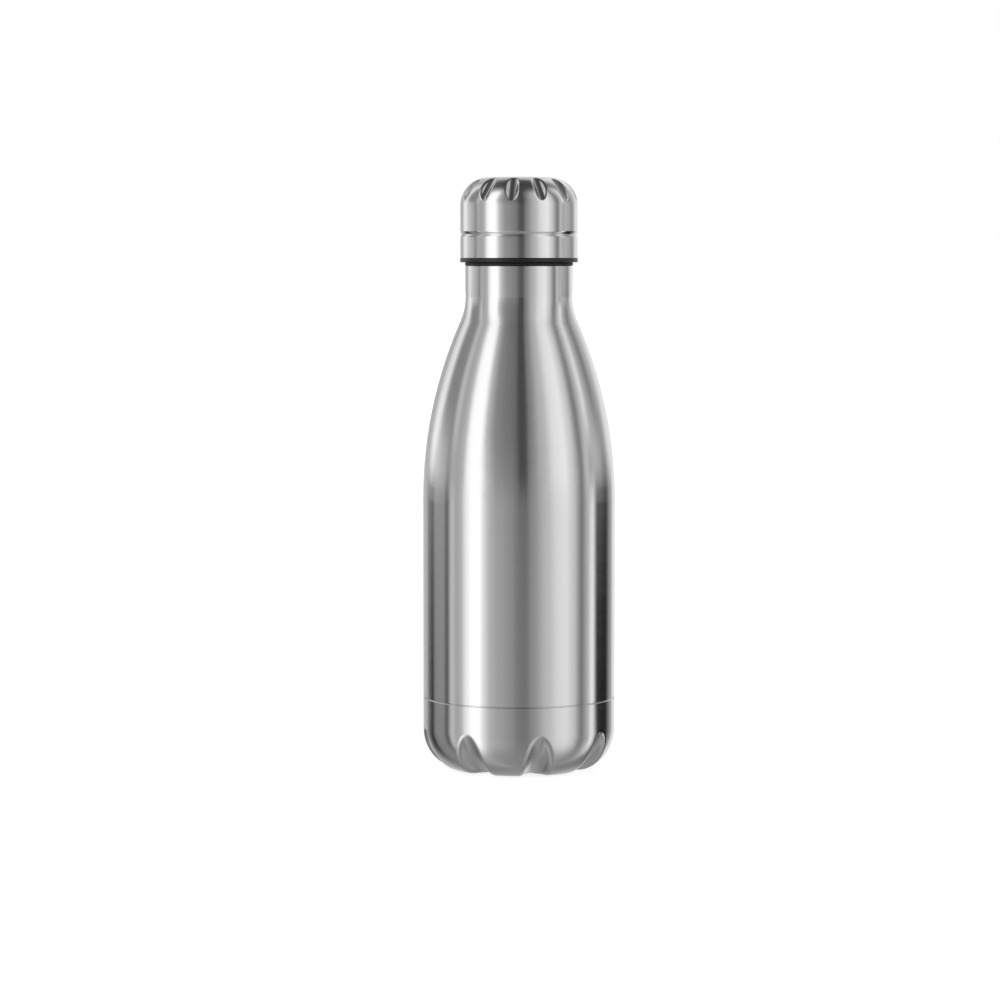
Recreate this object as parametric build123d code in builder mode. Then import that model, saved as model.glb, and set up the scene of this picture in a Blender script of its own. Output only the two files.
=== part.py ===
"""Double-wall insulated bottle with a screw cap, 500 ml.

Millimetres, +Z up. The origin is the middle of the base at the level of the feet, and the
bottle's axis is Z. Every round piece is a profile in the XZ plane turned about Z.
"""

import os
from math import asin, atan2, cos, degrees, hypot, pi, radians, sin, sqrt

from build123d import *

# ---------------------------------------------------------------- driving dimensions
WALL = 0.5                    # all the drawn and spun steel sheet

# outer shell and its base cup
BODY_R = 37.0                 # outside of the straight body
NECK_R = 20.6                 # outside of the straight neck
RIM_Z = 193.8                 # top of the mouth
SHOULDER_Z = 104.0            # where the straight body ends
SHOULDER_R = 170.0            # long convex arc of the shoulder
NECK_FILLET_R = 22.8          # concave arc into the neck
RIM_ROUND = 0.35
SEAM_Z = 27.8                 # middle of the seam between shell and base cup
SEAM_GAP = 0.36
SEAM_CHAMFER = 0.12
LIP_TOP_Z = 31.8              # top of the cup's lip, nested inside the shell

# foot of the base cup
FOOT_R = 24.0                 # outer edge of the flat feet
FOOT_IN_R = 18.6              # inner edge of the flat feet
BOWL_Z = 16.0                 # where the bowl's round side meets the straight side
RECESS_R = 14.0
RECESS_Z = 3.0
DIMPLE_R = 3.4
DIMPLE_TOP_Z = 4.6
DIMPLE_SLOPE = 1.0
PUMP_HOLE_R = 0.6
PUMP_HOLE_CUT = 2.0           # length of its cutter

# flutes pressed into the base cup
FLUTES = 8
FLUTE_PHASE = -32.5           # one flute's turn from the front, positive to the right
FLUTE_TIP = (37.2, 17.0)      # (radius, height) of the valley's upper end
FLUTE_TOE = (21.5, 1.3)       # and of a point at its lower end
FLUTE_BULGE = 1.8             # how far the valley arches out from the line between them
FLUTE_R = 4.3                 # how round the valley is across
FLUTE_OVERRUN = 14.0          # degrees by which the cutter runs past each end
FLUTE_EDGE_R = 2.6

# inner liner
LINER_R = 33.5                # outside
LINER_NECK_R = 19.2
LINER_SHOULDER_R = 166.5
LINER_NECK_FILLET_R = 24.0
LINER_FLOOR_Z = 10.0          # underside of the liner's floor
LINER_CORNER_R = 12.0
LINER_SEAM_Z = 24.0           # butt weld between the liner and its base

# screw thread
PITCH = 4.0
THREAD_ROOT_W = 2.0
THREAD_CREST_W = 0.9
RIDGE_CREST_R = 17.5          # crest of the liner's inward ridge
PLUG_R = 17.1                 # plug's core
PLUG_CREST_R = 18.3           # crest of the plug's outward thread
RIDGE_Z = 181.0               # middle of the liner's ridge at its lower end, at +X
RIDGE_TURNS = 1.8
PLUG_THREAD_TURNS = 1.85
THREAD_BITE = 0.3             # how far a thread's root is sunk into its wall

# cap
CAP_R = 22.5
CAP_TOP_Z = 227.4
CAP_SHOULDER_R = 10.5
CAP_BEAD_Z = 205.7            # middle of the groove rolled round the cap
CAP_BEAD_W = 2.4
CAP_BEAD_DEPTH = 0.4
CAP_FLUTES = 12
CAP_FLUTE_PHASE = -7.5
CAP_FLUTE_LOW = (22.6, 218.0)  # (radius, height) of a cap flute's lower end
CAP_FLUTE_HIGH = (14.6, 227.5)
CAP_FLUTE_R = 2.3
CAP_FLUTE_OVERRUN = 12.0      # length by which the cutter runs past each end
CAP_FLUTE_EDGE_R = 1.3

# plastic insert and its gasket
GASKET_IN_R = 17.5
GASKET_OUT_R = 20.75
GASKET_T = 1.2
GASKET_EDGE_R = 0.4
FLANGE_R = 22.6
FLANGE_T = 1.7
FLANGE_EDGE_R = 0.42
INSERT_WALL = 1.6
INSERT_TOP_Z = 216.4
PLUG_BOTTOM_Z = 175.5
PLUG_CAP_T = 1.5
PLUG_CAP_SPIGOT = 1.8
PLUG_CAP_EDGE_R = 0.75
FOAM_GAP = 0.1
DOME_FOAM_LOW_R = 19.6
DOME_FOAM_TOP_R = 13.2

# inside the vacuum space
FOIL_T = 0.1
FOIL_LOW_Z = 26.0
FOIL_DISC_R = 20.0
GETTER_R = 3.5
GETTER_T = 2.0
GETTER_X = 9.4
STRAP_T = 0.3
STRAP_W = 3.0
STRAP_FOOT = 2.0

COVER_T = 0.5
COVER_GAP = 0.2
COVER_CHAMFER = 0.25

# ---------------------------------------------------------------- worked out from these
CUP_TOP_Z = SEAM_Z - SEAM_GAP / 2
SHELL_LOW_Z = SEAM_Z + SEAM_GAP / 2
SHELL_IN_R = BODY_R - WALL
NECK_IN_R = NECK_R - WALL
LINER_IN_R = LINER_R - WALL
LINER_NECK_IN_R = LINER_NECK_R - WALL
FLANGE_LOW_Z = RIM_Z + GASKET_T
CAP_LOW_Z = FLANGE_LOW_Z + FLANGE_T
CAP_IN_R = CAP_R - WALL
PLUG_IN_R = PLUG_R - INSERT_WALL
SLEEVE_IN_R = CAP_IN_R - INSERT_WALL

os.makedirs("parts", exist_ok=True)


def save(piece, name):
    """Label one finished piece and write its own STEP file."""
    piece.part.label = name
    export_step(piece.part, f"parts/{name}.step")


def bottle_side(body_r, neck_r, shoulder_r, fillet_r, low_z, top_z):
    """Draw one side of the bottle upwards: straight, shoulder arc, neck arc, straight."""
    shoulder_x = body_r - shoulder_r
    fillet_x = neck_r + fillet_r
    reach = shoulder_r + fillet_r
    fillet_z = SHOULDER_Z + sqrt(reach**2 - (fillet_x - shoulder_x) ** 2)
    turn = degrees(atan2(fillet_z - SHOULDER_Z, fillet_x - shoulder_x))
    Line((body_r, low_z), (body_r, SHOULDER_Z))
    CenterArc((shoulder_x, SHOULDER_Z), shoulder_r, 0, turn)
    CenterArc((fillet_x, fillet_z), fillet_r, 180, turn)
    Line((neck_r, fillet_z), (neck_r, top_z))


def spoke(angle, radius, height):
    """The point at a radius and height, at an angle from the front, positive to the right."""
    turn = radians(angle)
    return Vector(radius * sin(turn), -radius * cos(turn), height)


def cut_base_flutes(growth):
    """Cut the ring of base flutes, each a round bar bent along its arched valley."""
    run, rise = FLUTE_TIP[0] - FLUTE_TOE[0], FLUTE_TIP[1] - FLUTE_TOE[1]
    chord = hypot(run, rise)
    valley_r = chord**2 / (8 * FLUTE_BULGE) + FLUTE_BULGE / 2
    back = valley_r - FLUTE_BULGE
    centre_r = (FLUTE_TIP[0] + FLUTE_TOE[0]) / 2 - back * rise / chord
    centre_z = (FLUTE_TIP[1] + FLUTE_TOE[1]) / 2 + back * run / chord
    tip_angle = atan2(FLUTE_TIP[1] - centre_z, FLUTE_TIP[0] - centre_r)
    toe_angle = atan2(FLUTE_TOE[1] - centre_z, FLUTE_TOE[0] - centre_r)
    start = tip_angle + radians(FLUTE_OVERRUN)
    sweep_angle = degrees(tip_angle - toe_angle) + 2 * FLUTE_OVERRUN
    bar_r = valley_r + FLUTE_R
    for index in range(FLUTES):
        angle = FLUTE_PHASE + index * 360 / FLUTES
        centre = spoke(angle, centre_r, centre_z)
        reach = spoke(angle, cos(start), sin(start))
        sideways = spoke(angle + 90, 1, 0)
        end_plane = Plane(centre + reach * bar_r, x_dir=sideways, z_dir=reach.cross(sideways))
        with BuildSketch(end_plane) as end:
            Circle(FLUTE_R + growth)
        revolve(end.sketch, axis=Axis(centre, sideways), revolution_arc=sweep_angle,
                mode=Mode.SUBTRACT)


def bowl_profile(inset):
    """Half section of the base cup, or of its hollow when inset is the wall."""
    side_r = BODY_R - inset
    with BuildSketch(Plane.XZ) as profile:
        with BuildLine():
            Polyline(
                (0, DIMPLE_TOP_Z + inset),
                (DIMPLE_R, DIMPLE_TOP_Z + inset),
                (DIMPLE_R + DIMPLE_SLOPE, RECESS_Z + inset),
                (RECESS_R, RECESS_Z + inset),
                (FOOT_IN_R, inset),
                (FOOT_R, inset),
            )
            EllipticalCenterArc(
                (FOOT_R, BOWL_Z), side_r - FOOT_R, BOWL_Z - inset, start_angle=-90, arc_size=90
            )
            Polyline(
                (side_r, BOWL_Z), (side_r, CUP_TOP_Z), (0, CUP_TOP_Z), (0, DIMPLE_TOP_Z + inset)
            )
        make_face()
    return profile.sketch


def round_cut_edges(piece, radius, low_z, high_z):
    """Round the edges that the flutes leave, which are the only free curves so high up."""
    plain = (GeomType.CIRCLE, GeomType.LINE, GeomType.ELLIPSE)
    nearby = piece.edges().filter_by_position(Axis.Z, low_z, high_z)
    fillet([edge for edge in nearby if edge.geom_type not in plain], radius=radius)


def thread_section(root_r, crest_r, start_z):
    """A thread's trapezium across the start of its helix, at +X."""
    middle = (root_r + crest_r) / 2
    slope = PITCH / (2 * pi * middle)
    half_root, half_crest = THREAD_ROOT_W / 2, THREAD_CREST_W / 2
    bite = THREAD_BITE if crest_r > root_r else -THREAD_BITE
    plane = Plane(origin=(middle, 0, start_z), x_dir=(1, 0, 0), z_dir=(0, 1, slope))
    with BuildSketch(plane) as section:
        with BuildLine():
            Polyline(
                (root_r - bite - middle, -half_root),
                (root_r - middle, -half_root),
                (crest_r - middle, -half_crest),
                (crest_r - middle, half_crest),
                (root_r - middle, half_root),
                (root_r - bite - middle, half_root),
                close=True,
            )
        make_face()
    return section.sketch


def cut_cap_flutes(growth):
    """Cut the ring of flutes round the cap's shoulder, each a slim cylinder."""
    run, rise = CAP_FLUTE_HIGH[0] - CAP_FLUTE_LOW[0], CAP_FLUTE_HIGH[1] - CAP_FLUTE_LOW[1]
    length = hypot(run, rise)
    axis_r = CAP_FLUTE_LOW[0] + CAP_FLUTE_R * rise / length
    axis_z = CAP_FLUTE_LOW[1] - CAP_FLUTE_R * run / length
    for index in range(CAP_FLUTES):
        angle = CAP_FLUTE_PHASE + index * 360 / CAP_FLUTES
        low = spoke(angle, axis_r, axis_z)
        high = spoke(angle, axis_r + run, axis_z + rise)
        with Locations(Plane(low, z_dir=high - low).offset(-CAP_FLUTE_OVERRUN)):
            Cylinder(CAP_FLUTE_R + growth, length + 2 * CAP_FLUTE_OVERRUN,
                     align=(Align.CENTER, Align.CENTER, Align.MIN), mode=Mode.SUBTRACT)


def rolled_groove(side_r):
    """Draw the groove rolled into a straight side, upwards."""
    half = CAP_BEAD_W / 2
    Spline(
        (side_r, CAP_BEAD_Z - half),
        (side_r - CAP_BEAD_DEPTH, CAP_BEAD_Z),
        (side_r, CAP_BEAD_Z + half),
        tangents=[(0, 1), (0, 1)],
    )


def cap_profile(inset):
    """Half section of the cap, or of its hollow when inset is the wall."""
    side_r = CAP_R - inset
    corner_r = CAP_SHOULDER_R - inset
    corner_z = CAP_TOP_Z - CAP_SHOULDER_R
    half = CAP_BEAD_W / 2
    with BuildSketch(Plane.XZ) as profile:
        with BuildLine():
            Polyline((0, CAP_LOW_Z), (side_r, CAP_LOW_Z), (side_r, CAP_BEAD_Z - half))
            rolled_groove(side_r)
            Line((side_r, CAP_BEAD_Z + half), (side_r, corner_z))
            CenterArc((side_r - corner_r, corner_z), corner_r, 0, 90)
            Polyline(
                (side_r - corner_r, CAP_TOP_Z - inset), (0, CAP_TOP_Z - inset), (0, CAP_LOW_Z)
            )
        make_face()
    return profile.sketch


# ---------------------------------------------------------------- outer shell
# One drawn tube from the seam to the mouth.
with BuildPart() as outer_shell:
    with BuildSketch(Plane.XZ):
        with BuildLine():
            bottle_side(BODY_R, NECK_R, SHOULDER_R, NECK_FILLET_R, SHELL_LOW_Z, RIM_Z)
            Line((NECK_R, RIM_Z), (NECK_IN_R, RIM_Z))
            bottle_side(SHELL_IN_R, NECK_IN_R, SHOULDER_R - WALL, NECK_FILLET_R + WALL,
                        SHELL_LOW_Z, RIM_Z)
            Line((SHELL_IN_R, SHELL_LOW_Z), (BODY_R, SHELL_LOW_Z))
        make_face()
    revolve(axis=Axis.Z)
    rim = outer_shell.edges().filter_by(GeomType.CIRCLE).group_by(Axis.Z)[-1]
    fillet(rim.sort_by(SortBy.RADIUS)[-1], radius=RIM_ROUND)
    seam = outer_shell.edges().filter_by(GeomType.CIRCLE).group_by(Axis.Z)[0]
    chamfer(seam.sort_by(SortBy.RADIUS)[-1], length=SEAM_CHAMFER)
save(outer_shell, "outer_shell")

# ---------------------------------------------------------------- base cup
# The pressed bottom, with feet and flutes alternating. Its lip nests inside the shell.
with BuildPart() as cup_hollow:
    revolve(bowl_profile(WALL), axis=Axis.Z)
    cut_base_flutes(WALL)
    round_cut_edges(cup_hollow, FLUTE_EDGE_R - WALL, 0, SEAM_Z)

with BuildPart() as outer_base_cup:
    revolve(bowl_profile(0), axis=Axis.Z)
    cut_base_flutes(0)
    round_cut_edges(outer_base_cup, FLUTE_EDGE_R, 0, SEAM_Z)
    add(cup_hollow.part, mode=Mode.SUBTRACT)
    with BuildSketch(Plane.XZ):
        with BuildLine():
            Polyline(
                (SHELL_IN_R, CUP_TOP_Z - 2 * WALL),
                (SHELL_IN_R - WALL, CUP_TOP_Z - WALL),
                (SHELL_IN_R - WALL, LIP_TOP_Z),
                (SHELL_IN_R, LIP_TOP_Z),
                close=True,
            )
        make_face()
    revolve(axis=Axis.Z)
    seam = outer_base_cup.edges().filter_by(GeomType.CIRCLE).filter_by_position(
        Axis.Z, CUP_TOP_Z, CUP_TOP_Z)
    chamfer(seam.sort_by(SortBy.RADIUS)[-1], length=SEAM_CHAMFER)
    with Locations((0, 0, DIMPLE_TOP_Z)):
        Cylinder(PUMP_HOLE_R, PUMP_HOLE_CUT, mode=Mode.SUBTRACT)
save(outer_base_cup, "outer_base_cup")

# ---------------------------------------------------------------- inner liner
# The flask that holds the drink. Its lip closes the vacuum space at the mouth, and the
# ridge rolled inside its neck is the female thread.
with BuildPart() as inner_liner:
    with BuildSketch(Plane.XZ):
        with BuildLine():
            bottle_side(LINER_R, LINER_NECK_R, LINER_SHOULDER_R, LINER_NECK_FILLET_R,
                        LINER_SEAM_Z, RIM_Z - WALL)
            Polyline(
                (LINER_NECK_R, RIM_Z - WALL),
                (NECK_IN_R, RIM_Z - WALL),
                (NECK_IN_R, RIM_Z),
                (LINER_NECK_IN_R, RIM_Z),
            )
            bottle_side(LINER_IN_R, LINER_NECK_IN_R, LINER_SHOULDER_R - WALL,
                        LINER_NECK_FILLET_R + WALL, LINER_SEAM_Z, RIM_Z)
            Line((LINER_IN_R, LINER_SEAM_Z), (LINER_R, LINER_SEAM_Z))
        make_face()
    revolve(axis=Axis.Z)
    with BuildLine() as ridge_path:
        Helix(PITCH, PITCH * RIDGE_TURNS, (LINER_NECK_IN_R + RIDGE_CREST_R) / 2,
              center=(0, 0, RIDGE_Z))
    ridge = thread_section(LINER_NECK_IN_R, RIDGE_CREST_R, RIDGE_Z)
    sweep(ridge, path=ridge_path.wires()[0], is_frenet=True)
save(inner_liner, "inner_liner")

# A deep-rounded cup, butt-welded under the liner.
with BuildPart() as inner_base:
    with BuildSketch(Plane.XZ):
        with BuildLine():
            corner_x, corner_z = LINER_R - LINER_CORNER_R, LINER_FLOOR_Z + LINER_CORNER_R
            inner_r = LINER_CORNER_R - WALL
            Line((0, LINER_FLOOR_Z), (corner_x, LINER_FLOOR_Z))
            CenterArc((corner_x, corner_z), LINER_CORNER_R, -90, 90)
            Polyline(
                (LINER_R, corner_z), (LINER_R, LINER_SEAM_Z), (LINER_IN_R, LINER_SEAM_Z),
                (LINER_IN_R, corner_z),
            )
            CenterArc((corner_x, corner_z), inner_r, -90, 90)
            Polyline((corner_x, LINER_FLOOR_Z + WALL), (0, LINER_FLOOR_Z + WALL), (0, LINER_FLOOR_Z))
        make_face()
    revolve(axis=Axis.Z)
save(inner_base, "inner_base")

# ---------------------------------------------------------------- in the vacuum space
# Copper foil wrapped round the liner, and a disc of it under the liner's floor.
with BuildPart() as reflective_foil:
    with BuildSketch(Plane.XY.offset(FOIL_LOW_Z)):
        Circle(LINER_R + FOIL_T)
        Circle(LINER_R, mode=Mode.SUBTRACT)
    extrude(amount=SHOULDER_Z - FOIL_LOW_Z)
save(reflective_foil, "reflective_foil")

with BuildPart() as foil_base_disc:
    with BuildSketch(Plane.XY.offset(LINER_FLOOR_Z - FOIL_T)):
        Circle(FOIL_DISC_R)
    extrude(amount=FOIL_T)
save(foil_base_disc, "foil_base_disc")

# The getter pill lies on the base cup's recess, beside the pump-out dimple.
FLOOR_Z = RECESS_Z + WALL
with BuildPart() as getter:
    with BuildSketch(Plane.XY.offset(FLOOR_Z)):
        with Locations((GETTER_X, 0)):
            Circle(GETTER_R)
    extrude(amount=GETTER_T)
    chamfer(getter.edges().group_by(Axis.Z)[-1], length=STRAP_T)
save(getter, "getter")

# A spot-welded strap holds the getter down.
with BuildPart() as getter_strap:
    with BuildSketch(Plane.YZ.offset(GETTER_X)):
        top_z = FLOOR_Z + GETTER_T + STRAP_T
        leg_y = GETTER_R + STRAP_T
        foot_y = leg_y + STRAP_FOOT
        with BuildLine():
            Polyline(
                (-foot_y, FLOOR_Z), (-GETTER_R, FLOOR_Z), (-GETTER_R, top_z - STRAP_T),
                (GETTER_R, top_z - STRAP_T), (GETTER_R, FLOOR_Z), (foot_y, FLOOR_Z),
                (foot_y, FLOOR_Z + STRAP_T), (leg_y, FLOOR_Z + STRAP_T), (leg_y, top_z),
                (-leg_y, top_z), (-leg_y, FLOOR_Z + STRAP_T), (-foot_y, FLOOR_Z + STRAP_T),
                close=True,
            )
        make_face()
    extrude(amount=STRAP_W / 2, both=True)
save(getter_strap, "getter_strap")

# Solder glass melted over the pump-out hole from below, and down into the dimple.
with BuildPart() as vacuum_seal_bead:
    with BuildSketch(Plane.XZ):
        bead_x = DIMPLE_R - PUMP_HOLE_R
        ball_r = (bead_x**2 + DIMPLE_SLOPE**2) / (2 * DIMPLE_SLOPE)
        low_z = DIMPLE_TOP_Z - DIMPLE_SLOPE
        with BuildLine():
            Polyline(
                (0, low_z), (0, DIMPLE_TOP_Z + WALL), (PUMP_HOLE_R, DIMPLE_TOP_Z + WALL),
                (PUMP_HOLE_R, DIMPLE_TOP_Z), (bead_x, DIMPLE_TOP_Z),
            )
            CenterArc((0, low_z + ball_r), ball_r, -90, degrees(asin(bead_x / ball_r)))
        make_face()
    revolve(axis=Axis.Z)
save(vacuum_seal_bead, "vacuum_seal_bead")

# A pressed disc closes the recess and hides the bead.
with BuildPart() as base_cover_disc:
    with BuildSketch(Plane.XY.offset(RECESS_Z - COVER_T)):
        Circle(RECESS_R - COVER_GAP)
    extrude(amount=COVER_T)
    chamfer(base_cover_disc.edges().group_by(Axis.Z)[0], length=COVER_CHAMFER)
save(base_cover_disc, "base_cover_disc")

# ---------------------------------------------------------------- cap
with BuildPart() as cap_hollow:
    revolve(cap_profile(WALL), axis=Axis.Z)
    cut_cap_flutes(WALL)

# Drawn steel shell, fluted round the shoulder and rolled onto the insert at its groove.
with BuildPart() as cap_shell:
    revolve(cap_profile(0), axis=Axis.Z)
    cut_cap_flutes(0)
    round_cut_edges(cap_shell, CAP_FLUTE_EDGE_R, INSERT_TOP_Z, CAP_TOP_Z)
    add(cap_hollow.part, mode=Mode.SUBTRACT)
save(cap_shell, "cap_shell")

# Black plastic insert: a sleeve in the shell, a flange under it, and the threaded plug.
with BuildPart() as threaded_insert:
    with BuildSketch(Plane.XZ):
        Polygon(
            (PLUG_IN_R, PLUG_BOTTOM_Z), (PLUG_R, PLUG_BOTTOM_Z), (PLUG_R, FLANGE_LOW_Z),
            (FLANGE_R, FLANGE_LOW_Z), (FLANGE_R, CAP_LOW_Z), (CAP_IN_R, CAP_LOW_Z),
            (CAP_IN_R, INSERT_TOP_Z), (0, INSERT_TOP_Z), (0, INSERT_TOP_Z - INSERT_WALL),
            (SLEEVE_IN_R, INSERT_TOP_Z - INSERT_WALL), (SLEEVE_IN_R, CAP_LOW_Z),
            (PLUG_IN_R, CAP_LOW_Z), align=None,
        )
    revolve(axis=Axis.Z)
    with BuildSketch(Plane.XZ):
        with BuildLine():
            rolled_groove(CAP_IN_R)
            Line((CAP_IN_R, CAP_BEAD_Z + CAP_BEAD_W / 2), (CAP_IN_R, CAP_BEAD_Z - CAP_BEAD_W / 2))
        make_face()
    revolve(axis=Axis.Z, mode=Mode.SUBTRACT)
    flange = threaded_insert.edges().filter_by(GeomType.CIRCLE).filter_by(
        lambda edge: edge.radius > CAP_R)
    fillet(flange, radius=FLANGE_EDGE_R)
    with BuildLine() as thread_path:
        Helix(PITCH, PITCH * PLUG_THREAD_TURNS, (PLUG_R + PLUG_CREST_R) / 2,
              center=(0, 0, RIDGE_Z - PITCH / 2))
    thread = thread_section(PLUG_R, PLUG_CREST_R, RIDGE_Z - PITCH / 2)
    sweep(thread, path=thread_path.wires()[0], is_frenet=True)
save(threaded_insert, "threaded_insert")

# A disc with a spigot is spun-welded into the plug's open end.
with BuildPart() as insert_bottom_cap:
    with BuildSketch(Plane.XZ):
        Polygon(
            (0, PLUG_BOTTOM_Z - PLUG_CAP_T), (PLUG_R, PLUG_BOTTOM_Z - PLUG_CAP_T),
            (PLUG_R, PLUG_BOTTOM_Z), (PLUG_IN_R, PLUG_BOTTOM_Z),
            (PLUG_IN_R, PLUG_BOTTOM_Z + PLUG_CAP_SPIGOT), (0, PLUG_BOTTOM_Z + PLUG_CAP_SPIGOT),
            align=None,
        )
    revolve(axis=Axis.Z)
    fillet(insert_bottom_cap.edges().group_by(Axis.Z)[0], radius=PLUG_CAP_EDGE_R)
save(insert_bottom_cap, "insert_bottom_cap")

# Foam fills the plug and the sleeve as one stepped block.
with BuildPart() as plug_foam:
    with BuildSketch(Plane.XZ):
        low_r, high_r = PLUG_IN_R - FOAM_GAP, SLEEVE_IN_R - FOAM_GAP
        low_z = PLUG_BOTTOM_Z + PLUG_CAP_SPIGOT
        top_z = INSERT_TOP_Z - INSERT_WALL
        Polygon(
            (0, low_z), (low_r, low_z), (low_r, CAP_LOW_Z + FOAM_GAP),
            (high_r, CAP_LOW_Z + FOAM_GAP), (high_r, top_z), (0, top_z), align=None,
        )
    revolve(axis=Axis.Z)
save(plug_foam, "plug_foam")

# A second block fills the dome between the insert and the cap shell.
with BuildPart() as dome_foam:
    with BuildSketch(Plane.XZ):
        top_z = CAP_TOP_Z - WALL - FOAM_GAP
        Polygon(
            (0, INSERT_TOP_Z), (DOME_FOAM_LOW_R, INSERT_TOP_Z), (DOME_FOAM_TOP_R, top_z),
            (0, top_z), align=None,
        )
    revolve(axis=Axis.Z)
save(dome_foam, "dome_foam")

# Silicone ring between the flange and the mouth.
with BuildPart() as cap_gasket:
    with BuildSketch(Plane.XY.offset(RIM_Z)):
        Circle(GASKET_OUT_R)
        Circle(GASKET_IN_R, mode=Mode.SUBTRACT)
    extrude(amount=GASKET_T)
    outer = cap_gasket.edges().filter_by(GeomType.CIRCLE).sort_by(SortBy.RADIUS)[-2:]
    fillet(outer, radius=GASKET_EDGE_R)
save(cap_gasket, "cap_gasket")
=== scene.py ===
"""Satin steel insulated bottle in a round light tent, on a white floor. Metres, +Z up."""

from math import cos, pi, radians, sin

import bpy
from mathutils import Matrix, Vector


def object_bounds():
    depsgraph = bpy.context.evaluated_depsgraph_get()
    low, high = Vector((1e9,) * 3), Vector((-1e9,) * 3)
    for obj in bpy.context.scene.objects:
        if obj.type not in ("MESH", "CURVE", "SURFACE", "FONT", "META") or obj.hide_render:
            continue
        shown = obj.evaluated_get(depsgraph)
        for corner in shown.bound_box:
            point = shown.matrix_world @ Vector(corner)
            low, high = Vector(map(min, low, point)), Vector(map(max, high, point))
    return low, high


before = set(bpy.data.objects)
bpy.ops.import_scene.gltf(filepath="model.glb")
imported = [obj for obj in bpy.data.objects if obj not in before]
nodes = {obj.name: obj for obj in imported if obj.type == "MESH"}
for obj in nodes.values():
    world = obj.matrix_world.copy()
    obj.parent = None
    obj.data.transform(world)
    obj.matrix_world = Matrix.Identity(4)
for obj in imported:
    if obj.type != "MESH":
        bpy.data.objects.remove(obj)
cad_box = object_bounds()

# ---------------------------------------------------------------- camera
CAMERA_AT = (-0.0073, -1.282, 0.1955)
CAMERA_TILT = radians(4.1)
CAMERA_LENS = 120.0

# ---------------------------------------------------------------- light tent
TENT_RADIUS = 3.0
TENT_GAIN = 1.55               # makes up for what the steel absorbs
# Strips round the tent, as (azimuth in degrees from the camera, brightness), + to the right.
STRIPS_LOW = [
    (-180, 0.53), (-146, 0.36), (-136, 0.10), (-127, 0.0), (-119, 0.20), (-103, 0.22),
    (-96, 0.04), (-88, 0.54), (-80, 0.34), (-73, 0.44), (-67, 0.80), (-58, 1.05), (-50, 1.10),
    (-42, 0.66), (-35, 0.43), (-24, 0.36), (-10, 0.28), (-2, 0.20), (8, 0.18), (17, 0.27),
    (34, 0.47), (50, 0.66), (58, 0.70), (67, 0.56), (80, 0.16), (88, 0.34), (98, 0.86),
    (107, 0.0), (127, 0.0), (142, 0.26), (154, 0.62), (180, 0.52),
]
STRIPS_LEVEL = [
    (-180, 0.42), (-156, 0.34), (-146, 0.44), (-131, 0.92), (-118, 0.66), (-104, 0.50),
    (-94, 0.30), (-80, 0.36), (-72, 0.42), (-65, 0.90), (-56, 1.06), (-46, 1.0), (-38, 0.50),
    (-26, 0.25), (-10, 0.20), (-3, 0.15), (1, 0.04), (8, 0.04), (13, 0.20), (28, 0.42),
    (46, 0.76), (57, 0.84), (66, 0.60), (74, 0.38), (81, 0.16), (89, 0.52), (96, 0.18),
    (106, 0.50), (114, 0.46), (126, 0.28), (146, 0.66), (180, 0.55),
]
STRIPS_UPPER = [
    (-180, 0.55), (-162, 0.42), (-148, 0.30), (-137, 0.60), (-127, 0.76), (-115, 0.20),
    (-97, 0.22), (-89, 0.52), (-81, 0.34), (-73, 0.42), (-64, 1.0), (-50, 1.02), (-41, 0.40),
    (-31, 0.22), (-16, 0.17), (-6, 0.14), (0, 0.06), (8, 0.06), (14, 0.20), (30, 0.44),
    (46, 0.74), (57, 0.80), (66, 0.60), (80, 0.16), (89, 0.42), (97, 0.74), (106, 0.36),
    (118, 0.18), (131, 0.38), (144, 0.54), (160, 0.68), (180, 0.55),
]
# Sines of the elevations between which one band of the tent passes into the next.
LEVEL_FROM, LEVEL_FULL = -0.045, 0.0
UPPER_FROM, UPPER_FULL = 0.04, 0.22
CEILING_FROM, CEILING_FULL = 0.68, 0.94
CEILING_LEVEL = 0.05
GROUND_FROM, GROUND_FULL = -0.35, -0.85
GROUND_LEVEL = 0.22
GROUND_EVENNESS = 0.85          # the strips still show faintly in the ground


def new_material(name):
    """An empty node material and its output node."""
    material = bpy.data.materials.new(name)
    material.use_nodes = True
    material.node_tree.nodes.clear()
    output = material.node_tree.nodes.new("ShaderNodeOutputMaterial")
    return material, output


class Nodes:
    """Short calls that add a node to one tree and link or set its inputs."""

    def __init__(self, material):
        self.tree = material.node_tree

    def add(self, kind, inputs=(), **settings):
        node = self.tree.nodes.new("ShaderNode" + kind)
        for name, value in settings.items():
            setattr(node, name, value)
        for key, value in dict(inputs).items():
            if isinstance(value, bpy.types.NodeSocket):
                self.tree.links.new(value, node.inputs[key])
            else:
                node.inputs[key].default_value = value
        return node

    def math(self, operation, first, second=0.0, third=0.0):
        return self.add("Math", {0: first, 1: second, 2: third}, operation=operation).outputs[0]

    def smooth(self, value, low, high):
        """0 at low, 1 at high, with a soft start and end."""
        node = self.add("MapRange", {"Value": value, "From Min": low, "From Max": high},
                        interpolation_type="SMOOTHSTEP")
        return node.outputs["Result"]

    def mix(self, factor, first, second):
        node = self.add("Mix", {"Factor": factor, "A": first, "B": second}, data_type="FLOAT")
        return node.outputs["Result"]

    def noise(self, vector, scale, detail=2.0, roughness=0.5):
        node = self.add("TexNoise", {"Vector": vector, "Scale": scale, "Detail": detail,
                                     "Roughness": roughness})
        return node.outputs["Fac"]

    def levels(self, value, stops, interpolation="LINEAR"):
        """A grey ramp from (position, level) stops."""
        node = self.add("ValToRGB", {"Fac": value})
        ramp = node.color_ramp
        ramp.interpolation = interpolation
        while len(ramp.elements) < len(stops):
            ramp.elements.new(0.5)
        for element, (position, level) in zip(ramp.elements, stops):
            element.position = position
            element.color = (level, level, level, 1)
        return node.outputs["Color"]


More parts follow.
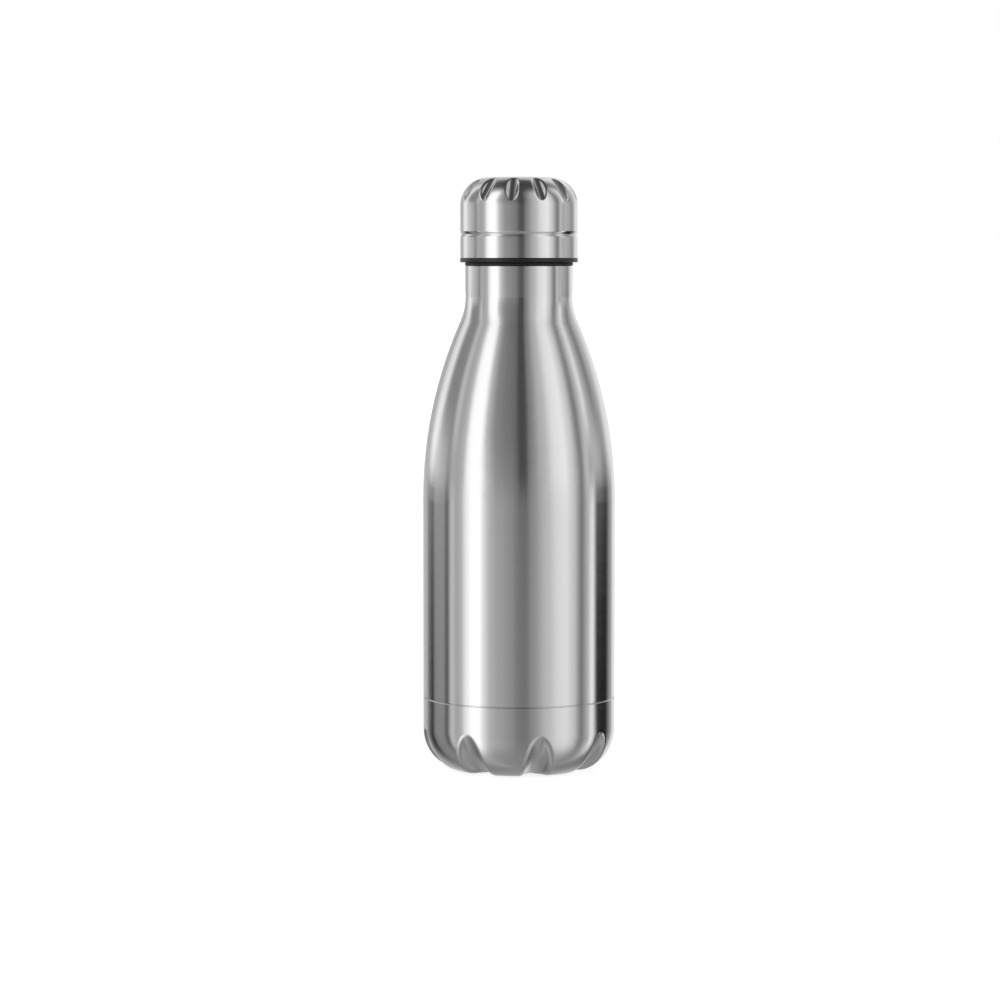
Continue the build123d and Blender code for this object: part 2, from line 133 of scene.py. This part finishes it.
def strip_ramp(kit, azimuth, strips):
    stops = [((angle + 180) / 360, level) for angle, level in strips]
    return kit.levels(azimuth, stops, "EASE")


def tent_material():
    material, output = new_material("tent")
    kit = Nodes(material)
    place = kit.add("TexCoord").outputs["Object"]
    azimuth = kit.add("TexGradient", {"Vector": place}, gradient_type="RADIAL").outputs["Fac"]
    direction = kit.add("VectorMath", {0: place}, operation="NORMALIZE").outputs[0]
    rise = kit.add("SeparateXYZ", {0: direction}).outputs["Z"]
    low = strip_ramp(kit, azimuth, STRIPS_LOW)
    level = strip_ramp(kit, azimuth, STRIPS_LEVEL)
    upper = strip_ramp(kit, azimuth, STRIPS_UPPER)
    level = kit.mix(kit.smooth(rise, LEVEL_FROM, LEVEL_FULL), low, level)
    level = kit.mix(kit.smooth(rise, UPPER_FROM, UPPER_FULL), level, upper)
    level = kit.mix(kit.smooth(rise, CEILING_FROM, CEILING_FULL), level, CEILING_LEVEL)
    ground = kit.mix(GROUND_EVENNESS, level, GROUND_LEVEL)
    level = kit.mix(kit.smooth(rise, GROUND_FROM, GROUND_FULL), level, ground)
    strength = kit.math("MULTIPLY", level, TENT_GAIN)
    light = kit.add("Emission", {"Strength": strength})
    kit.tree.links.new(light.outputs[0], output.inputs["Surface"])
    return material


def mesh_object(name, vertices, faces, material, smooth=True):
    mesh = bpy.data.meshes.new(name)
    mesh.from_pydata(vertices, [], faces)
    mesh.polygons.foreach_set("use_smooth", [smooth] * len(mesh.polygons))
    mesh.materials.append(material)
    obj = bpy.data.objects.new(name, mesh)
    bpy.context.scene.collection.objects.link(obj)
    return obj


def globe(radius, rings, sides):
    """Vertices and faces of a sphere, with a point at each pole."""
    vertices = [(0, 0, -radius)]
    for ring in range(1, rings):
        tilt = pi * ring / rings
        for side in range(sides):
            turn = 2 * pi * side / sides
            vertices.append((radius * sin(tilt) * cos(turn), radius * sin(tilt) * sin(turn),
                             -radius * cos(tilt)))
    vertices.append((0, 0, radius))
    last = len(vertices) - 1
    faces = []
    for side in range(sides):
        after = (side + 1) % sides
        faces.append((0, 1 + after, 1 + side))
        faces.append((last, last - sides + side, last - sides + after))
        for ring in range(rings - 2):
            low = 1 + ring * sides
            faces.append((low + side, low + after, low + sides + after, low + sides + side))
    return vertices, faces


def make_tent():
    tent = mesh_object("light_tent", *globe(TENT_RADIUS, 48, 96), tent_material())
    tent.location.z = (cad_box[0][2] + cad_box[1][2]) / 2
    tent.rotation_euler.z = -pi / 2
    tent.visible_camera = False


FLOOR_SIZE = 40.0
FLOOR_GRAIN = 3.0
FLOOR_SHADES = (0.78, 0.82)
FLOOR_GLOW = 0.72


def make_floor():
    material, output = new_material("floor_white")
    kit = Nodes(material)
    place = kit.add("TexCoord").outputs["Object"]
    shade = kit.levels(kit.noise(place, FLOOR_GRAIN), list(enumerate(FLOOR_SHADES)))
    paper = kit.add("BsdfDiffuse", {"Color": shade})
    glow = kit.add("Emission", {"Strength": FLOOR_GLOW})
    both = kit.add("AddShader", {0: paper.outputs[0], 1: glow.outputs[0]})
    kit.tree.links.new(both.outputs[0], output.inputs["Surface"])
    half = FLOOR_SIZE / 2
    corners = [(-half, -half, 0), (half, -half, 0), (half, half, 0), (-half, half, 0)]
    floor = mesh_object("floor", corners, [(0, 1, 2, 3)], material)
    floor.visible_glossy = False


def make_world():
    world = bpy.data.worlds.new("white")
    bpy.context.scene.world = world
    world.use_nodes = True
    background = world.node_tree.nodes["Background"]
    background.inputs["Color"].default_value = (1, 1, 1, 1)
    background.inputs["Strength"].default_value = 1.0


def make_camera():
    data = bpy.data.cameras.new("camera")
    data.lens = CAMERA_LENS
    data.clip_end = 2 * FLOOR_SIZE
    camera = bpy.data.objects.new("camera", data)
    camera.location = CAMERA_AT
    camera.rotation_euler = (pi / 2 - CAMERA_TILT, 0, 0)
    bpy.context.scene.collection.objects.link(camera)
    bpy.context.scene.camera = camera


# ---------------------------------------------------------------- materials
# Brushing lines, the broader bands among them and the even wear, as noise cells per metre.
LINES_AROUND, LINES_ALONG = 14.0, 5200.0
BANDS_AROUND, BANDS_ALONG = 5.0, 260.0
WEAR_SCALE = 45.0
# How much each of them adds to the roughness, and the middle of all three together.
LINES_ROUGH, BANDS_ROUGH, WEAR_ROUGH = 0.06, 0.03, 0.03
ROUGH_MIDDLE = 0.05
# Painted shade: the steel's colour is darkened at the bottom of each brushing line.
LINES_PAINTED_SHADE_MIX = 0.35
LINES_PAINTED_SHADE = 0.9                # painted shade: brightness at the bottom of a brushing line
LINES_BUMP, LINES_DEPTH = 0.06, 0.00002
ROUND_THE_AXIS = 0.25           # turns of anisotropy that keep the steel crisp round its axis

BROAD_SCALE = 60.0              # slow change of tone in moulded stuff
BROAD_DARK = 0.75
GRAIN_ROUGH = 0.15
GRAIN_BUMP = 0.35


def shaded(colour, factor):
    """A material's colour as RGBA, darkened by a factor."""
    return (*[part * factor for part in colour], 1)


def stretched(kit, x, y, along, around_scale, along_scale):
    """A place stretched round the axis, so that noise read there makes rings."""
    return kit.add("CombineXYZ", {"X": kit.math("MULTIPLY", x, around_scale),
                                  "Y": kit.math("MULTIPLY", y, around_scale),
                                  "Z": kit.math("MULTIPLY", along, along_scale)}).outputs[0]


def brushed_steel(name, colour, roughness, spread, lean):
    """Steel brushed round its axis: crisp round the piece, blurred along it.

    lean is +1 or -1, so that height and radius add up along the piece's profile.
    """
    material, output = new_material(name)
    kit = Nodes(material)
    place = kit.add("TexCoord").outputs["Object"]
    x, y, z = kit.add("SeparateXYZ", {0: place}).outputs[:3]
    radius = kit.math("SQRT", kit.math("ADD", kit.math("MULTIPLY", x, x),
                                       kit.math("MULTIPLY", y, y)))
    along = kit.math("MULTIPLY_ADD", radius, lean, z)
    lines_at = stretched(kit, x, y, along, LINES_AROUND, LINES_ALONG)
    lines = kit.noise(lines_at, 1.0, detail=3.0, roughness=0.6)
    bands = kit.noise(stretched(kit, x, y, along, BANDS_AROUND, BANDS_ALONG), 1.0)
    wear = kit.noise(place, WEAR_SCALE, detail=4.0)
    rough = kit.math("MULTIPLY_ADD", lines, LINES_ROUGH, roughness - ROUGH_MIDDLE)
    rough = kit.math("MULTIPLY_ADD", bands, BANDS_ROUGH, rough)
    rough = kit.math("MULTIPLY_ADD", wear, WEAR_ROUGH, rough)
    # painted shade: base colour darkened along the brushing lines, as shade in their grooves
    tint = kit.add("MixRGB", {"Fac": kit.math("MULTIPLY", lines, LINES_PAINTED_SHADE_MIX),
                              "Color1": shaded(colour, 1),
                              "Color2": shaded(colour, LINES_PAINTED_SHADE)}).outputs[0]
    bump = kit.add("Bump", {"Height": lines, "Strength": LINES_BUMP, "Distance": LINES_DEPTH})
    tangent = kit.add("Tangent", direction_type="RADIAL", axis="Z")
    shader = kit.add("BsdfPrincipled", {
        "Base Color": tint, "Metallic": 1.0, "Roughness": rough, "Anisotropic": spread,
        "Anisotropic Rotation": ROUND_THE_AXIS, "Normal": bump.outputs[0],
        "Tangent": tangent.outputs[0]})
    kit.tree.links.new(shader.outputs[0], output.inputs["Surface"])
    return material


def moulded(name, colour, roughness, grain, depth, metallic=0.0):
    """Moulded, foamed or sintered stuff with a fine even grain."""
    material, output = new_material(name)
    kit = Nodes(material)
    place = kit.add("TexCoord").outputs["Object"]
    fine = kit.noise(place, grain, detail=4.0, roughness=0.6)
    broad = kit.noise(place, BROAD_SCALE, detail=2.0)
    tint = kit.add("MixRGB", {"Fac": broad, "Color1": shaded(colour, 1),
                              "Color2": shaded(colour, BROAD_DARK)}).outputs[0]
    rough = kit.math("MULTIPLY_ADD", fine, GRAIN_ROUGH, roughness - GRAIN_ROUGH / 2)
    bump = kit.add("Bump", {"Height": fine, "Strength": GRAIN_BUMP, "Distance": depth})
    shader = kit.add("BsdfPrincipled", {"Base Color": tint, "Roughness": rough,
                                        "Metallic": metallic, "Normal": bump.outputs[0]})
    kit.tree.links.new(shader.outputs[0], output.inputs["Surface"])
    return material


def paint(material, *names):
    for name in names:
        mesh = nodes[name].data
        mesh.materials.clear()
        mesh.materials.append(material)


satin = brushed_steel("satin_steel", (0.66, 0.66, 0.66), 0.165, 0.85, -1.0)
satin_base = brushed_steel("satin_steel_base", (0.65, 0.65, 0.65), 0.18, 0.8, 1.0)
liner = brushed_steel("liner_steel", (0.60, 0.59, 0.58), 0.26, 0.5, -1.0)
paint(satin, "outer_shell", "cap_shell")
paint(satin_base, "outer_base_cup", "base_cover_disc")
paint(liner, "inner_liner", "inner_base", "getter_strap")
paint(moulded("copper_foil", (0.86, 0.46, 0.30), 0.25, 900.0, 0.0001, 1.0),
      "reflective_foil", "foil_base_disc")
paint(moulded("getter_metal", (0.22, 0.22, 0.23), 0.6, 3000.0, 0.0001, 1.0), "getter")
paint(moulded("solder_glass", (0.10, 0.07, 0.05), 0.12, 700.0, 0.00005), "vacuum_seal_bead")
paint(moulded("black_plastic", (0.006, 0.006, 0.0065), 0.38, 2500.0, 0.00003),
      "threaded_insert", "insert_bottom_cap")
paint(moulded("white_foam", (0.86, 0.84, 0.78), 0.9, 1500.0, 0.0002), "plug_foam", "dome_foam")
paint(moulded("black_silicone", (0.004, 0.004, 0.0045), 0.5, 3500.0, 0.00002), "cap_gasket")

make_tent()
make_floor()
make_world()
make_camera()
bpy.context.scene.view_settings.view_transform = "Standard"
